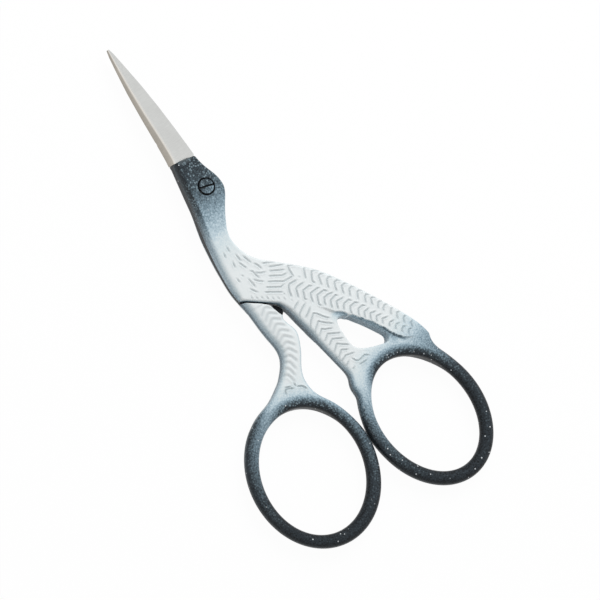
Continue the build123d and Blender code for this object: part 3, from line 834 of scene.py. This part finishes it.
# Blades: a thick back, a ridge, and one flat ground face down to the cutting edge
blades = {
    "root": 4.608, "tip": 28.6, "width": 4.5, "thickness": 1.78, "edge": 0.22, "inset": 0.6,
    "body": [(0.00, -0.660, 0.505, 1.00), (0.14, -0.570, 0.480, 0.98), (0.26, -0.518, 0.456, 0.93),
             (0.47, -0.442, 0.393, 0.80), (0.66, -0.345, 0.302, 0.67), (0.83, -0.218, 0.185, 0.49),
             (0.95, -0.107, 0.098, 0.32), (1.00, -0.033, 0.033, 0.13)],
    "leg": [(0.00, -0.490, 0.650, 1.00), (0.14, -0.480, 0.562, 0.98), (0.26, -0.460, 0.505, 0.93),
            (0.47, -0.402, 0.424, 0.80), (0.66, -0.315, 0.330, 0.67), (0.83, -0.198, 0.205, 0.49),
            (0.95, -0.102, 0.102, 0.32), (1.00, -0.033, 0.033, 0.13)],
    "nickAt": 10.7, "nickRadius": 0.28,
    "hollow": 0.03,           # the ground face is a shade hollow
    "shownFrom": 0.034,       # the root starts inside the painted head
    "rootWide": (1.66, 5.42, 1.35),       # and keeps inside its corner: across, from this y on, growth
    "rootLine": (6.16, -2.34, 0.204, 7.0),     # it runs along the head's edge: y, at x, fall, gone at y
    "ridgeWide": (0.14, 0.05, 0.08),
    # painted highlight across the ridge, per point of the cross-section
    "ridgeShine": [0.0, 0.12, 0.15, 1.0, 1.0, 0.25],
    "shadeFrom": 0.72,         # faces that lean more than this get the darker steel, as painted shade
}


def makeBlade(name, stations, turned, nicked):
    data = blades
    table = np.array(stations)
    ys = np.linspace(data["shownFrom"], 1, 90)
    if nicked:
        at = (data["nickAt"] - data["root"]) / (data["tip"] - data["root"])
        span = data["nickRadius"] / (data["tip"] - data["root"])
        ys = np.unique(np.concatenate([ys, at + span * np.linspace(-1.05, 1.05, 17)]))
    points, sections = [], []
    ridgeFrom, ridgeIn, ridgeOut = data["ridgeWide"]
    across = np.linspace(0, 1, 9)
    for share in ys:
        back, edge, ridge = (np.interp(share, table[:, 0], table[:, k]) for k in (1, 2, 3))
        y = data["root"] + share * (data["tip"] - data["root"])
        back, edge = back * data["width"], edge * data["width"]
        wide, start, growth = data["rootWide"]
        edge = min(edge, wide + (y - start) * growth)
        high = max(ridge * data["thickness"], data["edge"])
        if nicked and abs(y - data["nickAt"]) < data["nickRadius"]:
            edge -= math.sqrt(data["nickRadius"] ** 2 - (y - data["nickAt"]) ** 2)
        crest = min(back + data["inset"] * ridge, (back + edge) / 2)
        row = [(back, 0.0), (back + (crest - back) * 0.5, high * 0.52), (crest, high)]
        for inward in (ridgeIn, ridgeFrom):
            short = min(inward, (crest - back) * (0.15 if inward == ridgeIn else 0.35))
            row.insert(2, (crest - short, high * (1 - 0.96 * short / (crest - back))))
        row.append((crest + ridgeOut, high - 0.006))
        for t in across[1:]:
            sag = data["hollow"] * 4 * t * (1 - t) * ridge
            outward = crest + ridgeOut + (edge - crest - ridgeOut) * t
            row.append((outward, high + (data["edge"] - high) * t - sag))
        row.append((edge, 0.0))
        sections.append([(x, y, z) for x, z in row])
    sides = len(sections[0])
    for section in sections:
        for x, y, z in section:
            height = common["seamTop"] + z
            if turned:
                x, height = -x, 2 * common["midHeight"] - height
            rootY, rootX, fall, gone = data["rootLine"]
            shift = rootY - (x - rootX) * fall - sections[0][0][1]
            points.append((x, y + shift * (1 - ease(y, sections[0][0][1], gone)), height))
    polygons = []
    for k in range(len(sections) - 1):
        for i in range(sides):
            j = (i + 1) % sides
            polygons.append([k * sides + i, k * sides + j, (k + 1) * sides + j, (k + 1) * sides + i])
    polygons.append([i for i in range(sides)][::-1])
    polygons.append([(len(sections) - 1) * sides + i for i in range(sides)])
    mesh = bpy.data.meshes.new(name)
    mesh.from_pydata([tuple(c * common["toMetres"] for c in p) for p in points], [], polygons)
    mesh.validate()
    shell = bmesh.new()
    shell.from_mesh(mesh)
    bmesh.ops.recalc_face_normals(shell, faces=shell.faces[:])
    shell.to_mesh(mesh)
    shell.free()
    # steep faces get the darker steel as painted shade
    for polygon in mesh.polygons:
        polygon.material_index = 0 if abs(polygon.normal[2]) > data["shadeFrom"] else 1
    # painted highlight along the ridge, stored per point
    shine = data["ridgeShine"] + [0.0] * (sides - len(data["ridgeShine"]))
    storeValues(mesh, "ridge", np.tile(shine, len(sections)))
    return pieceFrom(name, mesh, 20)


# Pivot screw: domed slotted head, shank down to the back of the lower half
screw = {
    "headRadius": 1.37, "headTop": 4.55, "headFoot": 3.55, "dome": 0.07, "rimRound": 0.14,
    "shankRadius": 1.0, "shankFoot": 0.04, "shankChamfer": 0.2,
    "slotHalf": 0.14, "slotFloor": 4.10, "slotTurn": -16.0,
    "sides": 120,
    "rings": (1.34, 1.30, 1.24, 1.15, 1.05, 0.9, 0.7, 0.5, 0.3, 0.1),
    "slotRows": (-0.19, -0.155, -0.125, -0.06, 0.06, 0.125, 0.155, 0.19), "slotReach": 1.35,
    "sidePale": (0.18, 0.24), "sidePaleTo": 1.25,         # enamel paler towards one side, inside this radius
}


def makeScrew(name):
    data = screw
    turn = math.radians(data["slotTurn"])
    along = np.array([math.cos(turn), math.sin(turn)])
    out = np.array([-math.sin(turn), math.cos(turn)])
    sides = data["sides"]
    angles = np.radians(np.linspace(0, 357, sides))
    spots = [circle(angles, data["headRadius"])]
    for radius in data["rings"]:
        steps = max(8, int(radius * 60))
        spots.append(circle(np.linspace(0, 2 * math.pi, steps, endpoint=False), radius))
    for offset in data["slotRows"]:
        reach = math.sqrt(data["slotReach"] ** 2 - offset ** 2)
        run = np.linspace(-reach, reach, 40)[:, None]
        spots.append(along * run + out * offset)
    spots = np.vstack(spots)
    edges = [(i, (i + 1) % sides) for i in range(sides)]
    result = geometry.delaunay_2d_cdt([Vector(p) for p in spots], edges, [], 1, 1e-6, True)
    found = np.array([v[:] for v in result[0]])
    faces = np.array([f[:] for f in result[2]])
    faceUp(found, faces)
    radius = np.linalg.norm(found, axis=1)
    ring = [None] * sides
    for i, sources in enumerate(result[3]):
        for source in sources:
            if source < sides:
                ring[source] = i
    across = np.abs(found @ out)
    high = data["headTop"] - data["dome"] * (radius / data["headRadius"]) ** 2
    high -= rounding(data["headRadius"] - radius, data["rimRound"])
    top = np.where(across < data["slotHalf"], data["slotFloor"], high)
    points = [(x, y, z) for (x, y), z in zip(found, top)]
    least, more = data["sidePale"]
    sidePale = least + more * ease(found @ np.array([0.35, -0.94]), -0.6, 1.0)
    # the slot and the rim outside that radius stay black as painted shade
    shade = np.where((across < data["slotHalf"] + 0.02) | (radius > data["sidePaleTo"]), 0.0, sidePale)
    polygons = [[int(i) for i in f] for f in faces]
    profile = [
        (data["headRadius"], data["headFoot"]), (data["shankRadius"], data["headFoot"]),
        (data["shankRadius"], data["shankFoot"] + data["shankChamfer"]),
        (data["shankRadius"] - data["shankChamfer"], data["shankFoot"]),
    ]
    last = [int(i) for i in ring]
    for reach, z in profile:
        start = len(points)
        points += [(math.cos(a) * reach, math.sin(a) * reach, z) for a in angles]
        now = [start + i for i in range(sides)]
        for i in range(sides):
            j = (i + 1) % sides
            polygons.append([last[i], now[i], now[j], last[j]])
        last = now
    polygons.append(last[::-1])
    mesh = bpy.data.meshes.new(name)
    mesh.from_pydata([tuple(c * common["toMetres"] for c in p) for p in points], [], polygons)
    storeValues(mesh, "paleness", np.concatenate([shade, np.zeros(len(points) - len(shade))]))
    mesh.validate()
    return pieceFrom(name, mesh, 40)


# Materials
def newMaterial(name):
    material = bpy.data.materials.new(name)
    material.use_nodes = True
    return material, material.node_tree, material.node_tree.nodes["Principled BSDF"]


def srgb(red, green, blue):
    def linear(c):
        c /= 255
        return c / 12.92 if c <= 0.04045 else ((c + 0.055) / 1.055) ** 2.4
    return (linear(red), linear(green), linear(blue), 1)


# Gives a node its inputs: outputs of other nodes are linked, anything else is set
def feed(tree, node, inputs):
    for key, value in inputs.items():
        if isinstance(value, bpy.types.NodeSocket):
            tree.links.new(value, node.inputs[key])
        else:
            node.inputs[key].default_value = value
    return node.outputs


def newNode(tree, kind, inputs):
    return feed(tree, tree.nodes.new("ShaderNode" + kind), inputs)


def mathNode(tree, operation, *values):
    node = tree.nodes.new("ShaderNodeMath")
    node.operation = operation
    return feed(tree, node, dict(enumerate(values)))[0]


def attributeNode(tree, name):
    node = tree.nodes.new("ShaderNodeAttribute")
    node.attribute_name = name
    return node.outputs["Fac"]


def mixNode(tree, share, under, over):
    node = tree.nodes.new("ShaderNodeMix")
    node.data_type = "RGBA"
    return feed(tree, node, {"Factor": share, 6: under, 7: over})[2]


def rampNode(tree, value, stops):
    node = tree.nodes.new("ShaderNodeValToRGB")
    elements = node.color_ramp.elements
    for element, (at, colour) in ((elements[0], stops[0]), (elements[1], stops[-1])):
        element.position = at
        element.color = colour
    for at, colour in stops[1:-1]:
        elements.new(at).color = colour
    return feed(tree, node, {"Fac": value})["Color"]


# Roughness around a middle value, and a fine relief, both from one texture
def finish(tree, shader, texture, roughness, relief):
    middle, less, more = roughness
    strength, distance = relief
    gloss = newNode(tree, "MapRange", {"Value": texture, "To Min": middle - less, "To Max": middle + more})
    bump = newNode(tree, "Bump", {"Height": texture, "Strength": strength, "Distance": distance})
    feed(tree, shader, {"Roughness": gloss["Result"], "Normal": bump["Normal"]})


enamel = {
    "stops": [(0.0, (17, 20, 23)), (0.03, (36, 42, 47)), (0.12, (48, 56, 62)), (0.25, (74, 88, 96)),
              (0.45, (114, 134, 146)), (0.62, (154, 176, 188)), (0.78, (192, 210, 219)),
              (0.92, (219, 230, 233)), (1.0, (232, 237, 238))],
    "grain": 0.27,            # how much the sprayed shade wavers
    "grainScale": 3600,
    "grainShown": [(0.02, 0.35), (0.35, 1.0), (0.75, 0.55), (1.0, 0.12)],  # it fades out in white and black
    "flecks": {"scale": 2600, "size": 0.50, "pick": 0.32, "strength": 0.60, "tint": (158, 180, 190)},
    "glitter": {"scale": 1050, "size": 0.155, "pick": 0.55, "strength": 0.95, "tint": (232, 238, 241)},
    "darkOnly": (0.15, 0.8),  # flecks and glitter fade out between these tones
    "bareBlack": (0.03, 0.11),            # and flecks below these: the black has hardly any spray on it
    # colour and share of the painted shade in the grooves and along the edges
    "carvingShade": (140, 153, 158), "carvingShare": 0.44,
    "roughness": (0.32, 0.06, 0.08), "relief": (0.12, 0.00004),
    "specular": 0.17,
}


def enamelMaterial(name, isScrew=False):
    material, tree, shader = newMaterial(name)
    place = tree.nodes.new("ShaderNodeTexCoord").outputs["Object"]
    tone = attributeNode(tree, "paleness")
    grain = newNode(tree, "TexNoise", {
        "Vector": place, "Scale": enamel["grainScale"], "Detail": 2.5, "Roughness": 0.6,
    })["Fac"]
    spread = rampNode(tree, tone, [(at, (grey, grey, grey, 1)) for at, grey in enamel["grainShown"]])
    waver = mathNode(tree, "MULTIPLY", mathNode(tree, "SUBTRACT", grain, 0.5), spread)
    shifted = mathNode(tree, "MULTIPLY_ADD", waver, enamel["grain"] * 4, tone)
    colour = rampNode(tree, shifted, [(at, srgb(*stop)) for at, stop in enamel["stops"]])

    # pale flecks of the spray, and sparse bright glitter in the dark enamel
    for kind in ("flecks", "glitter"):
        dots = enamel[kind]
        cells = newNode(tree, "TexVoronoi", {"Vector": place, "Scale": dots["scale"]})
        dot = newNode(tree, "MapRange", {
            "Value": cells["Distance"], "From Min": dots["size"], "From Max": dots["size"] * 0.45,
        })["Result"]
        split = newNode(tree, "SeparateColor", {"Color": cells["Color"]})
        chosen = mathNode(tree, "GREATER_THAN", split[0], dots["pick"])
        dim = newNode(tree, "MapRange", {
            "Value": tone, "From Min": enamel["darkOnly"][0], "From Max": enamel["darkOnly"][1],
            "To Min": dots["strength"], "To Max": 0.0,
        })["Result"]
        amount = mathNode(tree, "MULTIPLY", mathNode(tree, "MULTIPLY", dot, chosen), dim)
        if kind == "flecks":
            bare = newNode(tree, "MapRange", {
                "Value": tone, "From Min": enamel["bareBlack"][0], "From Max": enamel["bareBlack"][1],
            })["Result"]
            amount = mathNode(tree, "MULTIPLY", amount, bare)
            if not isScrew:
                amount = mathNode(tree, "MULTIPLY", amount, attributeNode(tree, "speckle"))
        colour = mixNode(tree, amount, colour, srgb(*dots["tint"]))

    # painted shade in the grooves and along the edges, from the carving attribute
    if not isScrew:
        paintedShade = mathNode(tree, "MULTIPLY", attributeNode(tree, "carving"), enamel["carvingShare"])
        colour = mixNode(tree, paintedShade, colour, srgb(*enamel["carvingShade"]))
    feed(tree, shader, {"Base Color": colour, "Specular IOR Level": enamel["specular"]})
    finish(tree, shader, grain, enamel["roughness"], enamel["relief"])
    return material


steel = {
    "face": ((214, 215, 213), (200, 201, 199)),
    # darker steel for the steep faces, as painted shade
    "back": ((176, 170, 160), (146, 141, 133)),
    # colour and share of the painted highlight along the blade's ridge
    "ridge": (238, 234, 227), "ridgeShare": 0.75,
    "roughness": (0.34, 0.08, 0.10), "relief": (0.25, 0.00002),
    "lineScale": (700, 16000, 900), "lineTurn": 24,
    "cloudScale": 260, "cloudShare": 0.35,
    "spread": (0.3, 0.68),    # of the darker and the paler tone
}


def steelMaterial(name, tint):
    material, tree, shader = newMaterial(name)
    place = tree.nodes.new("ShaderNodeTexCoord").outputs["Object"]
    turned = newNode(tree, "Mapping", {
        "Vector": place, "Rotation": (0, 0, math.radians(steel["lineTurn"])), "Scale": steel["lineScale"],
    })["Vector"]
    lines = newNode(tree, "TexNoise", {"Vector": turned, "Scale": 1.0, "Detail": 4})["Fac"]
    cloud = newNode(tree, "TexNoise", {"Vector": place, "Scale": steel["cloudScale"], "Detail": 3})["Fac"]
    less = mathNode(tree, "MULTIPLY", lines, 1 - steel["cloudShare"])
    mixed = mathNode(tree, "MULTIPLY_ADD", cloud, steel["cloudShare"], less)
    paler, darker = steel[tint]
    colour = rampNode(tree, mixed, list(zip(steel["spread"], (srgb(*darker), srgb(*paler)))))
    # painted highlight along the ridge
    shine = mathNode(tree, "MULTIPLY", attributeNode(tree, "ridge"), steel["ridgeShare"])
    feed(tree, shader, {"Base Color": mixNode(tree, shine, colour, srgb(*steel["ridge"])), "Metallic": 1.0})
    finish(tree, shader, lines, steel["roughness"], steel["relief"])
    return material


bodyEnamel = enamelMaterial("bodyEnamel")
legEnamel = enamelMaterial("legEnamel")
screwEnamel = enamelMaterial("screwEnamel", isScrew=True)
bladeSteel = steelMaterial("bladeSteel", "face")
shadedSteel = steelMaterial("bladeShadedSteel", "back")

bodyPiece = makeHalf("bodyHalf_enamel", True)
legPiece = makeHalf("legHalf_enamel", False)
bodyBlade = makeBlade("bodyHalf_blade", blades["body"], False, False)
legBlade = makeBlade("legHalf_blade", blades["leg"], True, True)
screwPiece = makeScrew("pivotScrew_head")

for piece, material, body, node, slot in (
    (bodyPiece, bodyEnamel, "body_half", "body_half", "body_finish"),
    (legPiece, legEnamel, "leg_half", "leg_half", "leg_finish"),
    (bodyBlade, bladeSteel, "body_half", None, "body_finish"),
    (legBlade, bladeSteel, "leg_half", None, "leg_finish"),
    (screwPiece, screwEnamel, "pivot_screw", "pivot_screw", "screw_finish"),
):
    piece.data.materials.append(material)
    if material is bladeSteel:
        piece.data.materials.append(shadedSteel)
    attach(piece, body)
    if node:
        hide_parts(node)
print("stork scissors: pieces made")


# Studio: pale floor, white surround, a big soft lamp from the upper right
studio = {
    "floor": (250, 250, 250), "floorSize": 1.2, "floorShow": 0.965,
    "world": 0.50, "keyWatts": 1.45, "keySize": 0.34, "keyPlace": (0.24, 0.16, 0.34),
    "right": (0.7647, -0.5635, 0.3126), "up": (0.5128, 0.8259, 0.2344), "back": (-0.3903, -0.0189, 0.9206),
    "middle": (0.00381, -0.02488, 0.00110), "away": 0.6, "width": 0.102,
}


# 1 where the camera, a reflection or a clear piece looks at it, so that it shows white there
def whiteInView(tree):
    rays = tree.nodes.new("ShaderNodeLightPath").outputs
    seen = mathNode(tree, "ADD", rays["Is Camera Ray"], rays["Is Glossy Ray"])
    seen = mathNode(tree, "ADD", seen, rays["Is Transmission Ray"])
    seen.node.use_clamp = True
    return seen


def makeStudio():
    world = bpy.data.worlds.new("studioLight")
    bpy.context.scene.world = world
    world.use_nodes = True
    tree = world.node_tree
    tree.nodes.clear()
    dim = newNode(tree, "Background", {"Color": (1, 1, 1, 1), "Strength": studio["world"]})
    white = newNode(tree, "Background", {"Color": (1, 1, 1, 1), "Strength": 1.0})
    mixed = newNode(tree, "MixShader", {0: whiteInView(tree), 1: dim[0], 2: white[0]})
    newNode(tree, "OutputWorld", {0: mixed[0]})

    size = studio["floorSize"] / 2
    mesh = bpy.data.meshes.new("studioFloor")
    square = [(-size, -size, 0), (size, -size, 0), (size, size, 0), (-size, size, 0)]
    mesh.from_pydata(square, [], [(0, 1, 2, 3)])
    floor = bpy.data.objects.new("studioFloor", mesh)
    floor.location = (0, 0, -0.00002)
    bpy.context.scene.collection.objects.link(floor)
    material, tree, shader = newMaterial("studioFloor")
    feed(tree, shader, {"Base Color": srgb(*studio["floor"]), "Roughness": 0.9})
    glow = newNode(tree, "Emission", {"Strength": 1.0})
    share = mathNode(tree, "MULTIPLY", whiteInView(tree), studio["floorShow"])
    mixed = newNode(tree, "MixShader", {0: share, 1: shader.outputs[0], 2: glow[0]})
    feed(tree, tree.nodes["Material Output"], {"Surface": mixed[0]})
    mesh.materials.append(material)

    lamp = bpy.data.lights.new("softKey", "AREA")
    lamp.energy = studio["keyWatts"]
    lamp.size = studio["keySize"]
    key = bpy.data.objects.new("softKey", lamp)
    key.location = studio["keyPlace"]
    key.visible_glossy = False
    aim = Vector(studio["middle"]) - key.location
    key.rotation_mode = "QUATERNION"
    key.rotation_quaternion = aim.to_track_quat("-Z", "Y")
    bpy.context.scene.collection.objects.link(key)

    lens = bpy.data.cameras.new("photoView")
    lens.type = "ORTHO"
    lens.ortho_scale = studio["width"]
    lens.clip_start, lens.clip_end = 0.01, 10
    camera = bpy.data.objects.new("photoView", lens)
    axes = Matrix((studio["right"], studio["up"], studio["back"])).transposed().to_4x4()
    axes.translation = Vector(studio["middle"]) + Vector(studio["back"]) * studio["away"]
    camera.matrix_world = axes
    bpy.context.scene.collection.objects.link(camera)
    bpy.context.scene.camera = camera


makeStudio()
bpy.context.scene.view_settings.view_transform = "Standard"
print("stork scissors: studio made")
